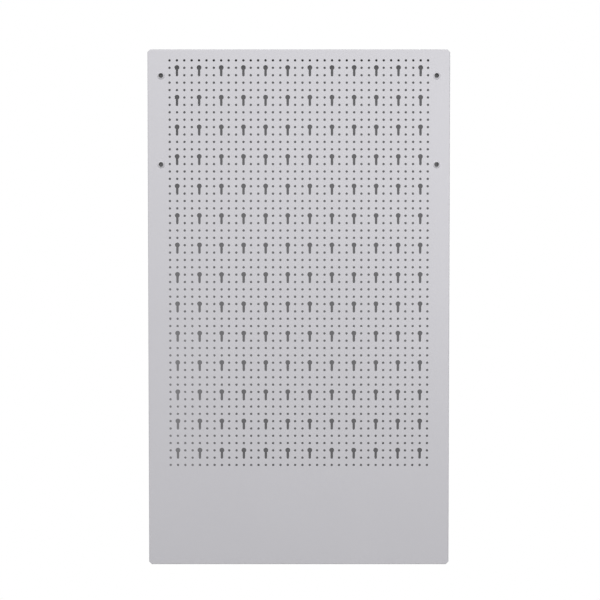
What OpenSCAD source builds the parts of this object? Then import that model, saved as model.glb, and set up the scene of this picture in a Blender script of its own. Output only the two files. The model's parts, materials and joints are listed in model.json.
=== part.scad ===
// Perforated steel tool wall panel with rear stiffeners and four fixing bushes.
// Millimetres. +Z is up, the front face looks towards -Y, and +X is to the right.
// Y = 0 is the rear plane that lies against the wall or the uprights, and the
// origin on it is the centre of the four fixing bushes.

/* [Hole field] */
// Distance from one hole to the next, across and down
pitch = 15; // [12:0.5:20]
// Number of hole columns
columns = 36; // [12:3:48]
// Number of hole rows
rows = 56; // [24:4:72]
// Diameter of the small round holes
hole_d = 5; // [3:0.1:6]
// Every how many columns a keyhole stands
keyhole_every_column = 3; // [2:1:6]
// Every how many rows a keyhole stands
keyhole_every_row = 4; // [3:1:8]
// Diameter of a keyhole's round head
keyhole_head_d = 10; // [7:0.1:12]
// How far a keyhole's head stands above its place on the grid
keyhole_rise = 0.5; // [0:0.1:2]
// Width of a keyhole's slot
keyhole_slot_w = 5; // [3:0.1:6]

/* [Folded sheet] */
// Thickness of the perforated sheet
sheet_t = 1.2; // [0.8:0.1:2]
// Overall depth, from the front face to the rear plane
panel_d = 25; // [18:0.5:40]
// Plain margin from the outer hole columns to the side edges
side_margin = 45; // [44:0.5:90]
// Plain margin from the top hole row to the top edge
top_margin = 22.5; // [12:0.5:60]
// Plain zone from the bottom hole row to the bottom edge
bottom_margin = 205; // [140:1:400]
// Outside radius of the sheet's folds
fold_r = 2.5; // [2.2:0.1:2.9]
// Width of the lips turned inwards along the rear plane
lip_w = 10; // [5:0.5:12]
// Length cut off each corner at 45 degrees, as relief for the folds
corner_cut = 6; // [5.2:0.1:9]
// Gap of the mitre between two lips
mitre_gap = 0.8; // [0.4:0.1:2]

/* [Fixings] */
// Distance of the fixings from the side edges
fixing_edge = 27.5; // [24:0.5:29]
// Distance of the upper fixings from the top edge
fixing_top = 53.5; // [30:0.5:120]
// Distance between the upper and the lower fixings
fixing_drop = 180; // [60:1:300]
// Clear bore of a fixing bush, for an M8 bolt
bush_bore_d = 9.5; // [8.4:0.1:10.5]
// Diameter of the bush's sleeve
bush_sleeve_d = 12.5; // [11.5:0.1:14.5]
// Diameter of the flange's foot on the front face
bush_flange_d = 15.6; // [13.6:0.1:20]
// How far the flange stands out of the front face
bush_flange_h = 2.5; // [1:0.1:4]
// Width of the flat rim round the bore, from which the flange slopes down
bush_rim_w = 0.8; // [0.3:0.1:1.4]
// Radial clearance of the sleeve in the sheet and in the channel's web
bush_clearance = 0.1; // [0.05:0.05:0.3]

/* [Stiffeners] */
// Width of the stiffening channels
channel_w = 26; // [25.5:0.5:29.5]
// Sheet thickness of the channels
channel_t = 1.5; // [1:0.1:2]
// Outside radius of the channels' folds
channel_fold_r = 2.5; // [2.2:0.1:3.5]
// Width of the channels' lips along the rear plane
channel_lip_w = 4.5; // [3:0.1:4.9]
// Height of the lower channel's middle above the bottom edge
lower_channel_height = 102.5; // [60:0.5:180]
// Gap between a channel's end and what it points at
channel_end_gap = 1; // [0.5:0.5:5]

/* [Hidden] */
$fn = 32;
through = 1; // how far a cutter runs past the face that it cuts

field_w = (columns - 1) * pitch;
field_h = (rows - 1) * pitch;
panel_w = field_w + 2 * side_margin;
panel_h = field_h + top_margin + bottom_margin;

// The places of the edges and of the hole field, from the origin amid the fixings
top_z = fixing_top + fixing_drop / 2;
bottom_z = top_z - panel_h;
middle_z = top_z - panel_h / 2;
first_hole_x = -field_w / 2;
first_hole_z = top_z - top_margin;
front_y = -panel_d;

fixing_x = panel_w / 2 - fixing_edge;
fixing_z = fixing_drop / 2;
channel_d = panel_d - sheet_t;
lower_channel_z = bottom_z + lower_channel_height;
upright_length = panel_h - 2 * (lip_w + channel_end_gap);
lower_channel_length = 2 * (fixing_x - channel_w / 2 - channel_end_gap);

fixing_hole_d = bush_sleeve_d + 2 * bush_clearance;
coat = [0.82, 0.82, 0.84];

// A rectangle with round corners, centred on the origin
module rounded_rectangle(w, h, r) {
    square([w - 2 * r, h], center = true);
    square([w, h - 2 * r], center = true);
    for (x = [-1, 1], y = [-1, 1])
        translate([x * (w / 2 - r), y * (h / 2 - r)])
            circle(r = r);
}

// Section of a folded channel with its web in front and two lips along the rear plane
module channel_section(w, d, t, r, lip) {
    translate([0, -d / 2])
        difference() {
            rounded_rectangle(w, d, r);
            rounded_rectangle(w - 2 * t, d - 2 * t, r - t);
            translate([0, d / 2])
                square([w - 2 * lip, 4 * t], center = true);
        }
}

// Extrusions of a section, centred on the origin: upwards and sideways
module upright_extrusion(length) {
    linear_extrude(length, center = true)
        children();
}

module sideways_extrusion(length) {
    rotate([0, 90, 0])
        linear_extrude(length, center = true)
            children();
}

// A cutter along Y through the front sheet, and through the web too if that is asked for
module front_cutter(d, depth = sheet_t) {
    translate([0, front_y - through, 0])
        rotate([-90, 0, 0])
            cylinder(d = d, h = depth + 2 * through);
}

// The slot under a keyhole's head, down to the next grid place, with a round lower end
module slot_cutter() {
    translate([-keyhole_slot_w / 2, front_y - through, -pitch])
        cube([keyhole_slot_w, sheet_t + 2 * through, pitch]);
    translate([0, 0, -pitch])
        front_cutter(keyhole_slot_w);
}

function keyhole_column(i) = i % keyhole_every_column == 1;
function keyhole_head(i, j) = keyhole_column(i) && j % keyhole_every_row == 1;
function keyhole_foot(i, j) = keyhole_column(i) && j % keyhole_every_row == 2;

// The whole field: small holes on the grid, and keyholes that take two grid places each
module hole_field() {
    for (i = [0 : columns - 1], j = [0 : rows - 1])
        translate([first_hole_x + i * pitch, 0, first_hole_z - j * pitch])
            if (keyhole_head(i, j)) {
                translate([0, 0, keyhole_rise])
                    front_cutter(keyhole_head_d);
                slot_cutter();
            } else if (!keyhole_foot(i, j)) {
                front_cutter(hole_d);
            }
}

module at_fixings() {
    for (x = [-1, 1], z = [-1, 1])
        translate([x * fixing_x, 0, z * fixing_z])
            children();
}

module at_corners() {
    for (x = [-1, 1], z = [-1, 1])
        translate([x * panel_w / 2, 0, middle_z + z * panel_h / 2])
            rotate([0, x * z * 45, 0])
                children();
}

// One sheet: the front, four sides folded back and four lips folded in
module folded_sheet() {
    difference() {
        translate([0, 0, middle_z]) {
            upright_extrusion(panel_h - 2 * fold_r)
                channel_section(panel_w, panel_d, sheet_t, fold_r, lip_w);
            sideways_extrusion(panel_w - 2 * fold_r)
                channel_section(panel_h, panel_d, sheet_t, fold_r, lip_w);
        }
        at_corners()
            cube([corner_cut * sqrt(2), 3 * panel_d, corner_cut * sqrt(2)], center = true);
        at_corners()
            cube([mitre_gap, 4 * sheet_t, 4 * lip_w], center = true);
    }
}

module perforated_panel() {
    color(coat)
        difference() {
            folded_sheet();
            union() {
                hole_field();
                at_fixings()
                    front_cutter(fixing_hole_d);
            }
        }
}

// An upright channel behind a side margin, with a hole in its web for each bush
module upright_stiffener(side) {
    color(coat)
        difference() {
            translate([side * fixing_x, 0, middle_z])
                upright_extrusion(upright_length)
                    channel_section(channel_w, channel_d, channel_t, channel_fold_r, channel_lip_w);
            at_fixings()
                front_cutter(fixing_hole_d, sheet_t + channel_t);
        }
}

module left_stiffener() {
    upright_stiffener(-1);
}

module right_stiffener() {
    upright_stiffener(1);
}

// A level channel behind the plain lower zone, between the two upright ones
module lower_stiffener() {
    color(coat)
        translate([0, 0, lower_channel_z])
            sideways_extrusion(lower_channel_length)
                channel_section(channel_w, channel_d, channel_t, channel_fold_r, channel_lip_w);
}

// A bush from the rear plane through web and sheet, with a sloped flange on the front face
module bush(side, level) {
    bush_length = panel_d + bush_flange_h;
    color(coat)
        translate([side * fixing_x, 0, level * fixing_z])
            rotate([90, 0, 0])
                difference() {
                    union() {
                        cylinder(d = bush_sleeve_d, h = panel_d);
                        translate([0, 0, panel_d])
                            cylinder(d1 = bush_flange_d, d2 = bush_bore_d + 2 * bush_rim_w, h = bush_flange_h);
                    }
                    translate([0, 0, -through])
                        cylinder(d = bush_bore_d, h = bush_length + 2 * through);
                }
}

module bush_upper_left() {
    bush(-1, 1);
}

module bush_upper_right() {
    bush(1, 1);
}

module bush_lower_left() {
    bush(-1, -1);
}

module bush_lower_right() {
    bush(1, -1);
}

perforated_panel();
left_stiffener();
right_stiffener();
lower_stiffener();
bush_upper_left();
bush_upper_right();
bush_lower_left();
bush_lower_right();
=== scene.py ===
"""Perforated tool wall panel: its sheet, channels and bushes with their finishes, and a plain studio."""

import json
import math

import bmesh
import bpy
from bpy.props import FloatProperty, FloatVectorProperty, IntProperty, PointerProperty
from bpy.types import Operator, Panel, PropertyGroup
from mathutils import Matrix, Vector


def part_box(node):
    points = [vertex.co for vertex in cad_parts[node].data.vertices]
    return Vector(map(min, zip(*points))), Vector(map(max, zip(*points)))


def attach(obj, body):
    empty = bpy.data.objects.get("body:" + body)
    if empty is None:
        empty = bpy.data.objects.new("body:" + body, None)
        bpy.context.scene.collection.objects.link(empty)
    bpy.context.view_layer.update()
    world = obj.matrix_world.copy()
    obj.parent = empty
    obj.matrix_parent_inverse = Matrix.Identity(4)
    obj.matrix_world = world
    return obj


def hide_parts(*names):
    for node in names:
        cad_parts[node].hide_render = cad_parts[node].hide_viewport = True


bl_info = {
    "name": "Perforated Tool Wall Panel",
    "version": (1, 0, 0),
    "blender": (4, 5, 0),
    "location": "3D View > Sidebar > Tool Wall",
    "description": "Builds a folded, perforated steel panel with its channels, bushes, finishes and studio",
    "category": "Object",
}

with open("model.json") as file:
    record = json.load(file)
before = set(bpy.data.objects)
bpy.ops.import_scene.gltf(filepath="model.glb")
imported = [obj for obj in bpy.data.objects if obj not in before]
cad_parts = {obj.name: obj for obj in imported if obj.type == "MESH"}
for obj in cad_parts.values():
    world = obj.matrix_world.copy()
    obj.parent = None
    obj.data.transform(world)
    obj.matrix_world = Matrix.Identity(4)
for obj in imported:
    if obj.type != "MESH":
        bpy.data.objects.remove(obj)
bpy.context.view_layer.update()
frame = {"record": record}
MOUNTS = {mount["name"]: mount for mount in frame["record"]["mounts"]}

RIGHT = Vector((1, 0, 0))
BACK = Vector((0, 1, 0))
UP = Vector((0, 0, 1))
LEFT, FRONT, DOWN = -RIGHT, -BACK, -UP
QUARTER_TURN = math.radians(90)
TOUCHING = 1e-5  # two points this near count as one, in metres
SHARP = math.radians(35)  # an edge that turns more than this keeps a crisp shade
FLAT_WEIGHT = 100  # the large flat faces alone set the shade beside a fold

KEYHOLE_CELL = (1, 1)  # column and row of the head in a block of the hole field; the slot ends one row below

PEBBLE = 0.0011  # width of the coat's pebbles, in metres
PEBBLE_DEPTH = 0.000022
COAT_ROUGHNESS = (0.52, 0.60)
BARE_ROUGHNESS = 0.65
BORE_REACH = 0.0001  # how far past a bore's wall its bare finish reaches
SPECULAR = 0.4

FLOOR_SIZE = 6.0
FLOOR_GLOW = 0.35  # what the floor adds to its own light where it is seen
WALL_GAP = 0.0005  # from the rear plane back to the wall
WALL_INSET = 0.006  # how far inside the panel's outline the wall ends

# Name, place from the panel's middle, width, height and power in watts
LAMPS = (
    ("key lamp", (-1.25, -2.6, 2.3), 1.0, 0.8, 74),
    ("fill lamp", (0.93, -1.1, 0.4), 0.8, 0.8, 6.2),
    ("back lamp", (0.9, 2.6, 1.5), 2.0, 1.6, 45),
)


def mount_size(mount, key):
    """A dimension of a mount, in metres."""
    return MOUNTS[mount]["dims"][key] / 1000


def length(name, description, default):
    """A size in metres that the user can set."""
    return FloatProperty(
        name=name,
        description=description,
        default=default,
        precision=4,
        unit="LENGTH",
        subtype="DISTANCE",
    )


def colour(name, description, default):
    """A colour that the user can set."""
    return FloatVectorProperty(
        name=name,
        description=description,
        default=default,
        min=0,
        max=1,
        size=3,
        subtype="COLOR",
    )


def steps(name, description, default, low, high):
    """A number of sides or steps that the user can set."""
    return IntProperty(name=name, description=description, default=default, min=low, max=high)


class ToolWallSheet(PropertyGroup):
    """Sizes of the perforated sheet."""

    pitch: length(
        "Pitch",
        "From one hole to the next, across and down",
        mount_size("small_hole_spacing", "spacing_x_mm"),
    )
    field_width: length(
        "Field Width",
        "From the first hole column to the last",
        mount_size("small_hole_field", "spacing_x_mm"),
    )
    field_height: length(
        "Field Height",
        "From the top hole row to the bottom one",
        mount_size("small_hole_field", "spacing_y_mm"),
    )
    hole: length("Hole", "Diameter of the small holes", 2 * mount_size("small_hole_field", "hole_r_mm"))
    keyhole_across: length(
        "Keyholes Across",
        "From one keyhole to the next, across",
        mount_size("keyhole_spacing", "spacing_x_mm"),
    )
    keyhole_down: length(
        "Keyholes Down",
        "From one keyhole to the next, down",
        mount_size("keyhole_spacing", "spacing_y_mm"),
    )
    keyhole_head: length("Keyhole Head", "Diameter of a head", 2 * mount_size("keyhole_field", "hole_r_mm"))
    keyhole_rise: length("Keyhole Rise", "How far a head stands above its grid place", 0.0005)
    keyhole_slot: length("Keyhole Slot", "Width of the slot under a head", 0.005)
    thickness: length("Thickness", "Thickness of the steel", 0.0012)
    fold_radius: length("Fold Radius", "Outside radius of the folds", 0.0025)
    lip: length("Lip", "Width of the lips along the rear plane", 0.010)
    corner_cut: length("Corner Cut", "Length cut off each corner", 0.006)
    mitre_gap: length("Mitre Gap", "Gap between two lips", 0.0008)
    hole_sides: steps("Hole Sides", "Sides of a small hole", 16, 8, 24)
    fold_steps: steps("Fold Steps", "Steps of a quarter-turn fold", 6, 2, 12)


class ToolWallChannel(PropertyGroup):
    """Sizes of the stiffening channels."""

    thickness: length("Thickness", "Thickness of the steel", 0.0015)
    fold_radius: length("Fold Radius", "Outside radius of the folds", 0.0025)
    lip: length("Lip", "Width of the lips along the rear plane", 0.0045)
    weld_spacing: length("Weld Spacing", "From one spot weld to the next", 0.060)
    weld_mark: length("Weld Mark", "Diameter of the dent of a spot weld", 0.0055)


class ToolWallBush(PropertyGroup):
    """Sizes of the flanged bushes."""

    bore: length("Bore", "Diameter of the bore", 2 * mount_size("wall_fixings", "hole_r_mm"))
    sleeve: length("Sleeve", "Diameter behind the flange", 0.0125)
    flange: length("Flange", "How far the flange stands out of the sheet", 0.0025)
    rim: length("Rim", "Width of the flat rim round the bore", 0.0008)
    clearance: length("Clearance", "Gap round the sleeve in the sheet and in a web", 0.0001)
    broken_edge: length("Broken Edge", "Width of the small bevel along each rim", 0.00015)
    sides: steps("Sides", "Sides of a bush", 64, 16, 96)


class ToolWallFinish(PropertyGroup):
    """Colours of the panel and its studio."""

    coat: colour("Powder Coat", "Light grey of the powder coat", (0.62, 0.612, 0.645))
    # Dark bare steel of the bores, made darker still as painted shade for the deep bore
    bare_steel_and_bore_shade: colour("Bare Steel", "Dark steel of the bores", (0.05, 0.05, 0.052))
    floor: colour("Floor", "Floor of the studio", (0.90, 0.90, 0.90))
    # Painted shade: the glow colour of the wall behind the panel, which stands in for its shade
    wall: colour("Wall", "Shaded wall behind the panel", (0.135, 0.134, 0.139))
    ambient: FloatProperty(
        name="Ambient",
        description="Strength of the light from all round",
        default=0.26,
        min=0,
        max=1,
    )


class ToolWallStudio(PropertyGroup):
    """Place of the camera and the floor."""

    distance: length("Distance", "From the camera to the rear plane", 3.0)
    aside: length("Aside", "How far right of the fixings' centre the camera is", 0.0032)
    drop: length("Drop", "How far below the fixings' centre the camera is", 0.2636)
    floor_drop: length("Floor Drop", "From the lower edge down to the floor", 1.1)
    tilt: FloatProperty(
        name="Tilt",
        description="How far the camera looks down",
        default=math.radians(1.966),
        unit="ROTATION",
        subtype="ANGLE",
    )
    pan: FloatProperty(
        name="Pan",
        description="How far the camera turns to the left",
        default=math.radians(0.014),
        unit="ROTATION",
        subtype="ANGLE",
    )
    lens: FloatProperty(
        name="Lens",
        description="Focal length in millimetres",
        default=87.5,
        min=20,
        max=300,
    )


# Boxes and meshes


def node_box(node):
    """The lowest and the highest corner of a node of the frame."""
    low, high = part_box(node)
    return Vector(low), Vector(high)


def reach(box, outward):
    """How far a box reaches in a direction."""
    return max(corner.dot(outward) for corner in box)


def place(x, y, z):
    """A point given by its distances to the right, to the back and up."""
    return RIGHT * x + BACK * y + UP * z


def only(kind, items):
    """The items of one kind, out of what a mesh operator gives back."""
    return [item for item in items if isinstance(item, kind)]


def unique(items):
    """The items in their own order, each once."""
    return list(dict.fromkeys(items))


def outline(bm, points):
    """The edges of a closed outline through a few points."""
    corners = [bm.verts.new(point) for point in points]
    return [bm.edges.new((corners[number - 1], corner)) for number, corner in enumerate(corners)]


def rectangle(bm, centre, width, height):
    """The edges of an upright rectangle."""
    sides = ((-1, -1), (1, -1), (1, 1), (-1, 1))
    return outline(bm, [centre + place(x * width / 2, 0, z * height / 2) for x, z in sides])


def circle(bm, centre, diameter, sides):
    """The edges of a circle that faces the front, drawn as a polygon of the circle's own area."""
    turn = Matrix.Translation(centre) @ Matrix.Rotation(QUARTER_TURN, 4, RIGHT)
    step = math.tau / sides
    radius = diameter / 2 * math.sqrt(step / math.sin(step))
    made = bmesh.ops.create_circle(bm, segments=sides, radius=radius, matrix=turn)
    return unique(edge for vert in made["verts"] for edge in vert.link_edges)


def fill(bm, edges):
    """Fills the area between an outline and the outlines inside it."""
    bmesh.ops.triangle_fill(bm, use_beauty=True, edges=edges, normal=FRONT)


def pull(bm, edges, offset):
    """Extrudes a line of edges and gives the new line."""
    made = bmesh.ops.extrude_edge_only(bm, edges=edges)["geom"]
    verts = only(bmesh.types.BMVert, made)
    bmesh.ops.translate(bm, verts=verts, vec=offset)
    fresh = set(verts)
    return [edge for edge in only(bmesh.types.BMEdge, made) if fresh.issuperset(edge.verts)]


def turn_line(bm, edges, centre, axis, angle, count):
    """Spins a line of edges about an axis and gives the new line."""
    verts = unique(vert for edge in edges for vert in edge.verts)
    made = bmesh.ops.spin(bm, geom=verts + edges, cent=centre, axis=axis, angle=angle, steps=count)
    return only(bmesh.types.BMEdge, made["geom_last"])


def border(bm, outward, distance, depth):
    """The open edges along one straight side of a flat front."""
    return [
        edge
        for edge in bm.edges
        if len(edge.link_faces) < 2
        and all(
            abs(vert.co.dot(outward) - distance) < TOUCHING and abs(vert.co.y - depth) < TOUCHING
            for vert in edge.verts
        )
    ]


def fold_side(bm, box, outward, sizes, count):
    """Folds one side of a flat front back to the rear plane and turns a lip in; gives the lip's faces."""
    front, rear = -reach(box, FRONT), reach(box, BACK)
    radius = sizes.fold_radius
    fold_reach = reach(box, outward) - radius
    axis = FRONT.cross(outward)
    line = border(bm, outward, fold_reach, front)
    line = turn_line(bm, line, outward * fold_reach + BACK * (front + radius), axis, QUARTER_TURN, count)
    line = pull(bm, line, BACK * (rear - front - 2 * radius))
    side_faces = set(bm.faces)
    line = turn_line(bm, line, outward * fold_reach + BACK * (rear - radius), axis, QUARTER_TURN, count)
    pull(bm, line, -outward * (sizes.lip - radius))
    return [face for face in bm.faces if face not in side_faces]


def cut_off(bm, faces, point, normal):
    """Cuts away what lies past a plane, and gives the faces that are left."""
    edges = unique(edge for face in faces for edge in face.edges)
    verts = unique(vert for face in faces for vert in face.verts)
    made = bmesh.ops.bisect_plane(
        bm,
        geom=[*verts, *edges, *faces],
        dist=TOUCHING,
        plane_co=point,
        plane_no=normal,
        clear_outer=True,
    )
    return only(bmesh.types.BMFace, made["geom"])


def repeat(bm, count, step):
    """Repeats the whole mesh along a line."""
    source = [*bm.verts, *bm.edges, *bm.faces]
    for number in range(1, count):
        made = bmesh.ops.duplicate(bm, geom=source)["geom"]
        bmesh.ops.translate(bm, verts=only(bmesh.types.BMVert, made), vec=step * number)


def face_outwards(bm):
    """Joins doubled points and turns the faces of a skin or shell outwards."""
    bmesh.ops.remove_doubles(bm, verts=bm.verts, dist=TOUCHING)
    bmesh.ops.recalc_face_normals(bm, faces=bm.faces)
    if sum(face.calc_area() * face.normal.dot(FRONT) for face in bm.faces) < -TOUCHING:
        bmesh.ops.reverse_faces(bm, faces=bm.faces)


def make_piece(bm, name, node, material, thickness=0):
    """Makes an object that stands for a node, from a closed mesh or from a skin that gets a thickness."""
    mesh = bpy.data.meshes.new(name)
    bm.to_mesh(mesh)
    bm.free()
    piece = bpy.data.objects.new(name, mesh)
    bpy.context.scene.collection.objects.link(piece)
    if thickness:
        solidify = piece.modifiers.new("Steel thickness", "SOLIDIFY")
        solidify.thickness = thickness
        solidify.offset = -1
        solidify.use_even_offset = True
        graph = bpy.context.evaluated_depsgraph_get()
        piece.data = bpy.data.meshes.new_from_object(piece.evaluated_get(graph))
        piece.modifiers.clear()
        bpy.data.meshes.remove(mesh)
        piece.data.name = name
    piece.data.shade_smooth()
    piece.data.set_sharp_from_angle(angle=SHARP)
    weighted = piece.modifiers.new("Even shade", "WEIGHTED_NORMAL")
    weighted.keep_sharp = True
    weighted.weight = FLAT_WEIGHT
    piece.data.materials.append(material)
    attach(piece, "root")
    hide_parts(node)


# The perforated sheet


def add_small_hole_cell(bm, centre, sheet):
    """One square of the hole field, with a small hole."""
    edges = rectangle(bm, centre, sheet.pitch, sheet.pitch)
    fill(bm, edges + circle(bm, centre, sheet.hole, sheet.hole_sides))


def keyhole(bm, centre, sheet):
    """The edges of a round head above a grid place, with a slot that ends round at the next place below."""
    radius = sheet.keyhole_head / 2
    half_slot = sheet.keyhole_slot / 2
    notch = math.asin(half_slot / radius)
    head = centre + UP * sheet.keyhole_rise
    foot = centre + DOWN * sheet.pitch
    start = bm.verts.new(head + place(half_slot, 0, -radius * math.cos(notch)))
    left_top = turn_point(bm, start, head, 2 * (math.pi - notch), sheet.hole_sides)
    left_foot = bm.verts.new(foot + LEFT * half_slot)
    right_foot = turn_point(bm, left_foot, foot, math.pi, sheet.hole_sides // 2)
    bm.edges.new((left_top, left_foot))
    bm.edges.new((right_foot, start))
    return [edge for edge in bm.edges if edge.is_wire]


def turn_point(bm, vert, centre, angle, count):
    """Draws an arc from a point, anticlockwise as seen from the front, and gives its last point."""
    made = bmesh.ops.spin(bm, geom=[vert], cent=centre, axis=FRONT, angle=angle, steps=count)
    return only(bmesh.types.BMVert, made["geom_last"])[0]


def add_keyhole_cell(bm, centre, sheet):
    """Two squares of the hole field, one above the other, with a keyhole."""
    half = sheet.pitch / 2
    edges = keyhole(bm, centre, sheet)
    corners = ((-1, 1), (-1, -1), (-1, -3), (1, -3), (1, -1), (1, 1))
    fill(bm, edges + outline(bm, [centre + place(x * half, 0, z * half) for x, z in corners]))


def add_hole_field(bm, first_hole, sheet):
    """The whole hole field: a block of small holes round one keyhole, repeated across and down."""
    head_column, head_row = KEYHOLE_CELL
    for column in range(round(sheet.keyhole_across / sheet.pitch)):
        for row in range(round(sheet.keyhole_down / sheet.pitch)):
            centre = first_hole + place(column, 0, -row) * sheet.pitch
            if (column, row) == (head_column, head_row):
                add_keyhole_cell(bm, centre, sheet)
            elif (column, row) != (head_column, head_row + 1):
                add_small_hole_cell(bm, centre, sheet)
    repeat(bm, round((sheet.field_width + sheet.pitch) / sheet.keyhole_across), RIGHT * sheet.keyhole_across)
    repeat(bm, round((sheet.field_height + sheet.pitch) / sheet.keyhole_down), DOWN * sheet.keyhole_down)
    bmesh.ops.remove_doubles(bm, verts=bm.verts, dist=TOUCHING)


def fixing_places(depth):
    """The centres of the four fixings by name, at a depth."""
    across = mount_size("wall_fixings", "spacing_x_mm") / 2
    up = mount_size("wall_fixings", "spacing_y_mm") / 2
    return {
        "upper_left": place(-across, depth, up),
        "upper_right": place(across, depth, up),
        "lower_left": place(-across, depth, -up),
        "lower_right": place(across, depth, -up),
    }


def sleeve_hole(bm, centre, bush):
    """The edges of a hole that lets a bush's sleeve through."""
    return circle(bm, centre, bush.sleeve + 2 * bush.clearance, bush.sides // 2)


def build_sheet(sheet, bush, material):
    """The folded sheet with its holes, mitred lips and corner cuts."""
    box = node_box("perforated_panel")
    front = -reach(box, FRONT)
    centre = (box[0] + box[1]) / 2
    centre.y = front
    size = box[1] - box[0]
    field = Vector(MOUNTS["small_hole_field"]["pos_m"])
    bm = bmesh.new()
    add_hole_field(bm, field + place(-sheet.field_width, 0, sheet.field_height) / 2, sheet)
    edges = []
    for outward, extent in ((RIGHT, sheet.field_width), (UP, sheet.field_height)):
        for side in (outward, -outward):
            edges += border(bm, side, field.dot(side) + (extent + sheet.pitch) / 2, front)
    flat_edge = 2 * sheet.fold_radius
    edges += rectangle(bm, centre, size.x - flat_edge, size.z - flat_edge)
    for outward, along in ((RIGHT, UP), (UP, RIGHT), (LEFT, UP), (DOWN, RIGHT)):
        lip = fold_side(bm, box, outward, sheet, sheet.fold_steps)
        for end in (along, -along):
            corner = outward * reach(box, outward) + end * reach(box, end)
            normal = (end - outward).normalized()
            lip = cut_off(bm, lip, corner - normal * sheet.mitre_gap / 2, normal)
    for fixing in fixing_places(front).values():
        edges += sleeve_hole(bm, fixing, bush)
    fill(bm, edges)
    for across in (LEFT, RIGHT):
        for upward in (DOWN, UP):
            corner = across * (reach(box, across) - sheet.corner_cut) + upward * reach(box, upward)
            cut_off(bm, list(bm.faces), corner, (across + upward).normalized())
    face_outwards(bm)
    make_piece(bm, "folded_sheet", "perforated_panel", material, sheet.thickness)


# The channels


def build_channel(name, node, along, channel, bush, count, material):
    """A channel behind the sheet, with two folded sides and a hole in its web for each bush through it."""
    box = node_box(node)
    front = -reach(box, FRONT)
    centre = (box[0] + box[1]) / 2
    centre.y = front
    size = box[1] - box[0]
    across = along.cross(FRONT)
    flat_edge = place(abs(across.x), 0, abs(across.z)) * 2 * channel.fold_radius
    bm = bmesh.new()
    edges = rectangle(bm, centre, size.x - flat_edge.x, size.z - flat_edge.z)
    for outward in (across, -across):
        fold_side(bm, box, outward, channel, count)
    for fixing in fixing_places(front).values():
        if box[0].x < fixing.x < box[1].x and box[0].z < fixing.z < box[1].z:
            edges += sleeve_hole(bm, fixing, bush)
    fill(bm, edges)
    face_outwards(bm)
    make_piece(bm, name, node, material, channel.thickness)


# The bushes


def build_bush(name, node, fixing, bush, material):
    """A bush from the rear plane through web and sheet, with a sloped flange on the front."""
    box = node_box(node)
    front, rear = -reach(box, FRONT), reach(box, BACK)
    seat = front + bush.flange
    foot = (box[1].x - box[0].x) / 2
    bore, sleeve = bush.bore / 2, bush.sleeve / 2
    profile = [
        (bore, rear),
        (bore, front),
        (bore + bush.rim, front),
        (foot, seat),
        (sleeve, seat),
        (sleeve, rear),
    ]
    bm = bmesh.new()
    ring = outline(bm, [fixing + place(radius, depth - fixing.y, 0) for radius, depth in profile])
    geom = [*bm.verts, *ring]
    bmesh.ops.spin(
        bm, geom=geom, cent=fixing, axis=BACK, angle=math.tau, steps=bush.sides, use_merge=True
    )
    face_outwards(bm)
    rims = [edge for edge in bm.edges if edge.is_convex and edge.calc_face_angle() > SHARP]
    bmesh.ops.bevel(
        bm,
        geom=rims,
        offset=bush.broken_edge,
        affect="EDGES",
        segments=2,
        profile=0.5,
        material=-1,
        clamp_overlap=True,
    )
    make_piece(bm, name, node, material)


# Node trees


def add(tree, kind, inputs=None, **settings):
    """A new node with its settings; each named input gets a value, or a link from another node's output."""
    node = tree.nodes.new("ShaderNode" + kind)
    for key, value in settings.items():
        setattr(node, key, value)
    for key, value in (inputs or {}).items():
        if isinstance(value, bpy.types.NodeSocket):
            tree.links.new(value, node.inputs[key])
        else:
            node.inputs[key].default_value = value
    return node


def calculate(tree, operation, first, second=0.0, third=0.0):
    """The result of a Math node."""
    return add(tree, "Math", {0: first, 1: second, 2: third}, operation=operation).outputs[0]


def remap(tree, value, low, high, to_low, to_high, smooth=False):
    """The result of a Map Range node."""
    kind = "SMOOTHSTEP" if smooth else "LINEAR"
    ends = {"Value": value, "From Min": low, "From Max": high, "To Min": to_low, "To Max": to_high}
    return add(tree, "MapRange", ends, interpolation_type=kind).outputs["Result"]


def blend_colours(tree, factor, first, second):
    """A mix of two colours, each a colour or an output of another node."""
    mix = add(tree, "Mix", {0: factor, 6: first, 7: second}, data_type="RGBA")
    return mix.outputs[2]


def opaque(rgb, share=1.0):
    """A colour with full alpha, scaled in brightness."""
    return (*[channel * share for channel in rgb], 1.0)


def new_group(name, inputs, outputs):
    """An empty shader node group with its sockets, its input node and its output node."""
    group = bpy.data.node_groups.new(name, "ShaderNodeTree")
    for label, kind, value in inputs:
        socket = group.interface.new_socket(label, in_out="INPUT", socket_type="NodeSocket" + kind)
        if value is not None:
            socket.default_value = value
    for label, kind in outputs:
        group.interface.new_socket(label, in_out="OUTPUT", socket_type="NodeSocket" + kind)
    return group, group.nodes.new("NodeGroupInput"), group.nodes.new("NodeGroupOutput")


def noise(tree, coordinates, scale, detail):
    """A noise value over the coordinates."""
    return add(tree, "TexNoise", {"Vector": coordinates, "Scale": scale, "Detail": detail}).outputs["Fac"]


def orange_peel_group():
    """The fine pebbled relief of a baked coat, in metres, with a slow drift of shade."""
    group, given, result = new_group(
        "Orange Peel",
        [("Coordinates", "Vector", None), ("Grain", "Float", 0.001), ("Depth", "Float", 0.00002)],
        [("Height", "Float"), ("Drift", "Float")],
    )
    fineness, fine_share = 2.7, 0.4  # the finer pebbles among the coarse ones
    scale = calculate(group, "DIVIDE", 1.0, given.outputs["Grain"])
    coarse = noise(group, given.outputs["Coordinates"], scale, 1.0)
    fine = noise(group, given.outputs["Coordinates"], calculate(group, "MULTIPLY", scale, fineness), 1.0)
    both = calculate(group, "MULTIPLY_ADD", fine, fine_share, coarse)
    group.links.new(calculate(group, "MULTIPLY", both, given.outputs["Depth"]), result.inputs["Height"])
    drift = noise(group, given.outputs["Coordinates"], 2.6, 3.0)
    group.links.new(remap(group, drift, 0.3, 0.7, 0.0, 1.0), result.inputs["Drift"])
    return group


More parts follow.
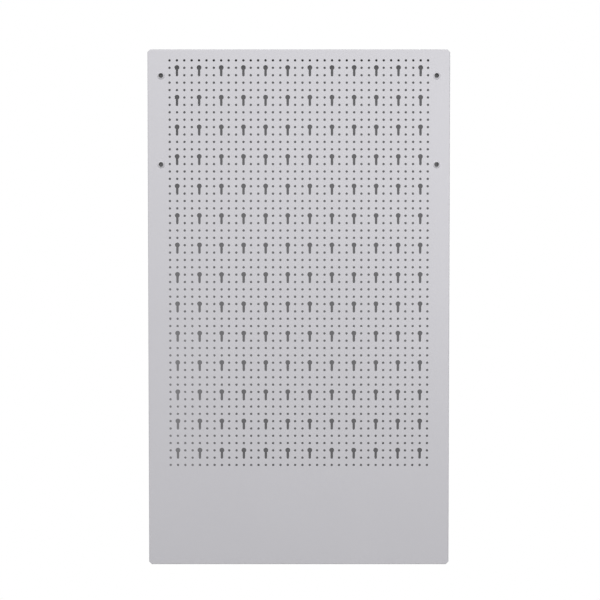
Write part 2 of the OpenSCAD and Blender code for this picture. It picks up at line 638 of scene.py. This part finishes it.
def weld_mark_group():
    """A row of round, shallow dents along X, in metres."""
    group, given, result = new_group(
        "Weld Marks",
        [
            ("Coordinates", "Vector", None),
            ("Spacing", "Float", 0.06),
            ("Diameter", "Float", 0.0055),
            ("Depth", "Float", 0.00012),
        ],
        [("Height", "Float")],
    )
    axes = add(group, "SeparateXYZ", {0: given.outputs["Coordinates"]})
    half = calculate(group, "MULTIPLY", given.outputs["Spacing"], 0.5)
    along = calculate(group, "PINGPONG", axes.outputs["X"], half)
    offset = add(group, "CombineXYZ", {"X": along, "Y": axes.outputs["Y"]})
    distance = add(group, "VectorMath", {0: offset.outputs[0]}, operation="LENGTH").outputs["Value"]
    radius = calculate(group, "MULTIPLY", given.outputs["Diameter"], 0.5)
    share = calculate(group, "DIVIDE", distance, radius)
    dent = remap(group, share, 0.6, 1.0, 0.0, 1.0, smooth=True)
    group.links.new(calculate(group, "MULTIPLY", dent, given.outputs["Depth"]), result.inputs["Height"])
    return group


def bore_group():
    """Fine grooves round the Y axis, in metres, and a mask that is one inside a bore."""
    group, given, result = new_group(
        "Turned Bore",
        [
            ("Coordinates", "Vector", None),
            ("Bore", "Float", 0.0095),
            ("Groove", "Float", 0.0004),
            ("Depth", "Float", 0.000006),
        ],
        [("Height", "Float"), ("Inside", "Float")],
    )
    axes = add(group, "SeparateXYZ", {0: given.outputs["Coordinates"]})
    flat = add(group, "CombineXYZ", {"X": axes.outputs["X"], "Z": axes.outputs["Z"]})
    distance = add(group, "VectorMath", {0: flat.outputs[0]}, operation="LENGTH").outputs["Value"]
    edge = calculate(group, "MULTIPLY_ADD", given.outputs["Bore"], 0.5, BORE_REACH)
    group.links.new(calculate(group, "LESS_THAN", distance, edge), result.inputs["Inside"])
    turns = calculate(group, "DIVIDE", axes.outputs["Y"], given.outputs["Groove"])
    wave = calculate(group, "SINE", calculate(group, "MULTIPLY", turns, math.tau))
    group.links.new(calculate(group, "MULTIPLY", wave, given.outputs["Depth"]), result.inputs["Height"])
    return group


BUILT_GROUPS = {}


def shared_group(maker):
    """A node group that is built once and then shared."""
    if maker.__name__ not in BUILT_GROUPS:
        BUILT_GROUPS[maker.__name__] = maker()
    return BUILT_GROUPS[maker.__name__]


def group_node(tree, group, inputs):
    """A group placed in a tree with its own values."""
    return add(tree, "Group", inputs, node_tree=group)


# Finishes


def new_material(name):
    """A material with one Principled shader and nothing else."""
    material = bpy.data.materials.new(name)
    material.use_nodes = True
    tree = material.node_tree
    shader = tree.nodes["Principled BSDF"]
    coordinates = add(tree, "TexCoord").outputs["Object"]
    return material, tree, shader, coordinates


def coat_relief(tree, peel, coordinates):
    """The relief and the drift of shade that the coat has on every piece."""
    return group_node(
        tree, peel, {"Coordinates": coordinates, "Grain": PEBBLE, "Depth": PEBBLE_DEPTH}
    )


def powder_coat(name, finish, peel, welds=None, channel=None, centre=None, turn=0.0):
    """Light grey powder coat, with the dents of spot welds showing through where a channel has them."""
    material, tree, shader, coordinates = new_material(name)
    grain = coat_relief(tree, peel, coordinates)
    height = grain.outputs["Height"]
    if welds:
        centred = add(
            tree, "Mapping", {"Vector": coordinates, "Location": centre, "Rotation": (0, turn, 0)},
            vector_type="TEXTURE",
        )
        flat = add(tree, "SeparateXYZ", {0: centred.outputs[0]})
        plane = add(tree, "CombineXYZ", {"X": flat.outputs["X"], "Y": flat.outputs["Z"]}).outputs[0]
        marks = group_node(
            tree,
            welds,
            {"Coordinates": plane, "Spacing": channel.weld_spacing, "Diameter": channel.weld_mark},
        )
        height = calculate(tree, "ADD", height, marks.outputs["Height"])
    drift = grain.outputs["Drift"]
    shade = blend_colours(tree, drift, opaque(finish.coat, 0.985), opaque(finish.coat, 1.015))
    tree.links.new(shade, shader.inputs["Base Color"])
    tree.links.new(remap(tree, drift, 0.0, 1.0, *COAT_ROUGHNESS), shader.inputs["Roughness"])
    bump = add(tree, "Bump", {"Height": height, "Strength": 1.0, "Distance": 1.0})
    tree.links.new(bump.outputs["Normal"], shader.inputs["Normal"])
    shader.inputs["Specular IOR Level"].default_value = SPECULAR
    return material


def coated_bush(name, finish, peel, turned, bush, centre):
    """The coat on a bush's outside, and in its bore dark bare steel with turning marks, its darkness partly
    painted shade deep in the bore.
    """
    material, tree, shader, coordinates = new_material(name)
    grain = coat_relief(tree, peel, coordinates)
    centred = add(tree, "Mapping", {"Vector": coordinates, "Location": centre}, vector_type="TEXTURE")
    bore = group_node(tree, turned, {"Coordinates": centred.outputs[0], "Bore": bush.bore})
    inside = bore.outputs["Inside"]
    # Partly painted shade: the bore's bare steel colour is darkened to stand in for the shade deep in the
    # bore
    shade = blend_colours(tree, inside, opaque(finish.coat), opaque(finish.bare_steel_and_bore_shade))
    tree.links.new(shade, shader.inputs["Base Color"])
    roughness = remap(tree, inside, 0.0, 1.0, sum(COAT_ROUGHNESS) / 2, BARE_ROUGHNESS)
    tree.links.new(roughness, shader.inputs["Roughness"])
    height = add(
        tree, "Mix", {0: inside, 2: grain.outputs["Height"], 3: bore.outputs["Height"]}, data_type="FLOAT"
    ).outputs[0]
    bump = add(tree, "Bump", {"Height": height, "Strength": 1.0, "Distance": 1.0})
    tree.links.new(bump.outputs["Normal"], shader.inputs["Normal"])
    shader.inputs["Specular IOR Level"].default_value = SPECULAR
    return material


def floor_paint(finish):
    """Pale matt floor, which the camera sees a little brighter."""
    material, tree, shader, coordinates = new_material("pale floor")
    cloud = noise(tree, coordinates, 1.5, 2.0)
    shade = blend_colours(tree, cloud, opaque(finish.floor, 0.99), opaque(finish.floor))
    tree.links.new(shade, shader.inputs["Base Color"])
    shader.inputs["Roughness"].default_value = 0.9
    shader.inputs["Emission Color"].default_value = (1, 1, 1, 1)
    seen = calculate(tree, "MULTIPLY", background_mask(tree), FLOOR_GLOW)
    tree.links.new(seen, shader.inputs["Emission Strength"])
    return material


def wall_paint(finish, low, high):
    """Grey wall whose glow paints the panel's shade on it: painted darkest under its top and painted lighter
    low on the left; clear from behind.
    """
    material, tree, shader, coordinates = new_material("wall with painted shade")
    cloud = noise(tree, coordinates, 3.0, 2.0)
    shade = blend_colours(tree, cloud, opaque(finish.wall, 0.95), opaque(finish.wall, 1.05))
    # Painted shade: the wall glows in its own grey instead of being lit by the little light that reaches it
    # behind the panel
    tree.links.new(shade, shader.inputs["Emission Color"])
    axes = add(tree, "SeparateXYZ", {0: coordinates})
    height = axes.outputs["Z"]
    # Painted shade and painted light: each line gives two places on the wall and the share of light, or the
    # gain, at each of them
    under_top = remap(tree, height, high.z - 0.041, high.z - 0.013, 1.0, 0.15, smooth=True)
    upper = remap(tree, height, high.z - 0.40, high.z - 0.03, 1.0, 0.80)
    lower = remap(tree, height, low.z + 0.205, low.z + 0.415, 0.76, 1.0)
    left = remap(tree, axes.outputs["X"], low.x + 0.05, low.x + 0.19, 1.0, 0.0, smooth=True)
    gain = remap(tree, height, low.z + 0.235, low.z + 0.78, 0.6, -0.15)
    strength = calculate(tree, "MULTIPLY_ADD", left, gain, 1.0)
    for share in (under_top, upper, lower):
        strength = calculate(tree, "MULTIPLY", strength, share)
    tree.links.new(strength, shader.inputs["Emission Strength"])
    shader.inputs["Base Color"].default_value = (0.02, 0.02, 0.02, 1)
    shader.inputs["Roughness"].default_value = 1.0
    clear = add(tree, "BsdfTransparent").outputs[0]
    backside = add(tree, "NewGeometry").outputs["Backfacing"]
    mix = add(tree, "MixShader", {0: backside, 1: shader.outputs[0], 2: clear})
    tree.links.new(mix.outputs[0], tree.nodes["Material Output"].inputs["Surface"])
    return material


def background_mask(tree):
    """One where the camera, a reflection or a view through glass looks, and zero for light."""
    path = add(tree, "LightPath")
    seen = calculate(tree, "MAXIMUM", path.outputs["Is Camera Ray"], path.outputs["Is Glossy Ray"])
    return calculate(tree, "MAXIMUM", seen, path.outputs["Is Transmission Ray"])


# The studio


def build_world(ambient):
    """White all round for the eye, and an even light of its own strength for the object."""
    world = bpy.data.worlds.new("White studio")
    bpy.context.scene.world = world
    world.use_nodes = True
    tree = world.node_tree
    background = tree.nodes["Background"]
    background.inputs["Color"].default_value = (1, 1, 1, 1)
    strength = calculate(tree, "MULTIPLY_ADD", background_mask(tree), 1 - ambient, ambient)
    tree.links.new(strength, background.inputs["Strength"])


def build_plane(name, centre, axis, width, depth, material):
    """A flat stage rectangle that faces an axis."""
    bm = bmesh.new()
    turn = Matrix.Translation(centre) @ axis.to_track_quat("Z", "Y").to_matrix().to_4x4()
    stretch = Matrix.Diagonal((width, depth, 1, 1))
    bmesh.ops.create_grid(bm, x_segments=1, y_segments=1, size=0.5, matrix=turn @ stretch)
    mesh = bpy.data.meshes.new(name)
    bm.to_mesh(mesh)
    bm.free()
    plane = bpy.data.objects.new(name, mesh)
    bpy.context.scene.collection.objects.link(plane)
    mesh.materials.append(material)
    return plane


def build_lamp(name, position, target, width, height, power):
    """A soft area lamp that shines on a target and isn't seen itself."""
    lamp = bpy.data.lights.new(name, "AREA")
    lamp.shape = "RECTANGLE"
    lamp.size = width
    lamp.size_y = height
    lamp.energy = power
    holder = bpy.data.objects.new(name, lamp)
    bpy.context.scene.collection.objects.link(holder)
    holder.location = position
    holder.rotation_euler = (target - position).to_track_quat("-Z", "Y").to_euler()
    holder.visible_camera = False


def build_camera(studio):
    """The camera, a little above the panel's middle and tilted slightly down."""
    camera = bpy.data.cameras.new("Camera")
    camera.lens = studio.lens
    holder = bpy.data.objects.new("Camera", camera)
    bpy.context.scene.collection.objects.link(holder)
    holder.location = place(studio.aside, -studio.distance, -studio.drop)
    holder.rotation_euler = (QUARTER_TURN - studio.tilt, 0, studio.pan)
    bpy.context.scene.camera = holder


# Operators


class TOOLWALL_OT_sheet(Operator):
    """Build the folded, perforated sheet"""

    bl_idname = "tool_wall.sheet"
    bl_label = "Perforated Sheet"

    def execute(self, context):
        scene = context.scene
        coat = powder_coat("powder coat, sheet", scene.tool_wall_finish, shared_group(orange_peel_group))
        build_sheet(scene.tool_wall_sheet, scene.tool_wall_bush, coat)
        return {"FINISHED"}


class TOOLWALL_OT_channels(Operator):
    """Build the two upright channels and the level one"""

    bl_idname = "tool_wall.channels"
    bl_label = "Stiffening Channels"

    def execute(self, context):
        scene = context.scene
        for name, node, along in (
            ("channel_left", "left_stiffener", UP),
            ("channel_right", "right_stiffener", UP),
            ("channel_lower", "lower_stiffener", RIGHT),
        ):
            low, high = node_box(node)
            coat = powder_coat(
                "powder coat, " + name.replace("_", " "),
                scene.tool_wall_finish,
                shared_group(orange_peel_group),
                shared_group(weld_mark_group),
                scene.tool_wall_channel,
                (low + high) / 2,
                QUARTER_TURN if along == UP else 0.0,
            )
            build_channel(
                name,
                node,
                along,
                scene.tool_wall_channel,
                scene.tool_wall_bush,
                scene.tool_wall_sheet.fold_steps,
                coat,
            )
        return {"FINISHED"}


class TOOLWALL_OT_bushes(Operator):
    """Build the four flanged bushes"""

    bl_idname = "tool_wall.bushes"
    bl_label = "Fixing Bushes"

    def execute(self, context):
        scene = context.scene
        bush = scene.tool_wall_bush
        for name, fixing in fixing_places(0.0).items():
            finish = coated_bush(
                "coated bush, " + name.replace("_", " "),
                scene.tool_wall_finish,
                shared_group(orange_peel_group),
                shared_group(bore_group),
                bush,
                fixing,
            )
            build_bush("flanged_bush_" + name, "bush_" + name, fixing, bush, finish)
        return {"FINISHED"}


class TOOLWALL_OT_studio(Operator):
    """Set up the camera, the lamps, the floor and the wall behind the panel"""

    bl_idname = "tool_wall.studio"
    bl_label = "Studio"

    def execute(self, context):
        scene = context.scene
        finish = scene.tool_wall_finish
        studio = scene.tool_wall_studio
        low, high = node_box("perforated_panel")
        middle = (low + high) / 2
        size = high - low
        scene.view_settings.view_transform = "Standard"
        build_camera(studio)
        build_world(finish.ambient)
        ground = place(0, 0, low.z - studio.floor_drop)
        build_plane("floor", ground, UP, FLOOR_SIZE, FLOOR_SIZE, floor_paint(finish))
        wall = build_plane(
            "wall",
            place(middle.x, high.y + WALL_GAP, middle.z),
            FRONT,
            size.x - 2 * WALL_INSET,
            size.z - 2 * WALL_INSET,
            wall_paint(finish, low, high),
        )
        wall.visible_shadow = False
        wall.visible_diffuse = False
        wall.visible_glossy = False
        for name, offset, width, height, power in LAMPS:
            build_lamp(name, middle + place(*offset), middle, width, height, power)
        return {"FINISHED"}


class TOOLWALL_PT_sidebar(Panel):
    """Lists the sizes, the finishes and what can be built"""

    bl_label = "Tool Wall Panel"
    bl_idname = "TOOLWALL_PT_sidebar"
    bl_space_type = "VIEW_3D"
    bl_region_type = "UI"
    bl_category = "Tool Wall"

    def draw(self, context):
        for label, name in SETTINGS.items():
            group = getattr(context.scene, name)
            box = self.layout.box()
            box.label(text=label)
            for key in group.bl_rna.properties.keys():
                if key not in {"rna_type", "name"}:
                    box.prop(group, key)
        for operator in OPERATORS:
            self.layout.operator(operator.bl_idname)


SETTINGS = {
    "Sheet": "tool_wall_sheet",
    "Channels": "tool_wall_channel",
    "Bushes": "tool_wall_bush",
    "Finish": "tool_wall_finish",
    "Studio": "tool_wall_studio",
}
GROUPS = (ToolWallSheet, ToolWallChannel, ToolWallBush, ToolWallFinish, ToolWallStudio)
OPERATORS = (TOOLWALL_OT_studio, TOOLWALL_OT_sheet, TOOLWALL_OT_channels, TOOLWALL_OT_bushes)


def register():
    """Registers the settings, the operators and the panel."""
    for group in GROUPS:
        bpy.utils.register_class(group)
    for name, group in zip(SETTINGS.values(), GROUPS):
        setattr(bpy.types.Scene, name, PointerProperty(type=group))
    for item in (*OPERATORS, TOOLWALL_PT_sidebar):
        bpy.utils.register_class(item)


def unregister():
    """Removes what register added."""
    for item in (TOOLWALL_PT_sidebar, *reversed(OPERATORS)):
        bpy.utils.unregister_class(item)
    for name in SETTINGS.values():
        delattr(bpy.types.Scene, name)
    for group in reversed(GROUPS):
        bpy.utils.unregister_class(group)


def main():
    """Builds the studio and every piece."""
    register()
    bpy.ops.tool_wall.studio()
    bpy.ops.tool_wall.sheet()
    bpy.ops.tool_wall.channels()
    bpy.ops.tool_wall.bushes()


if __name__ == "__main__":
    main()
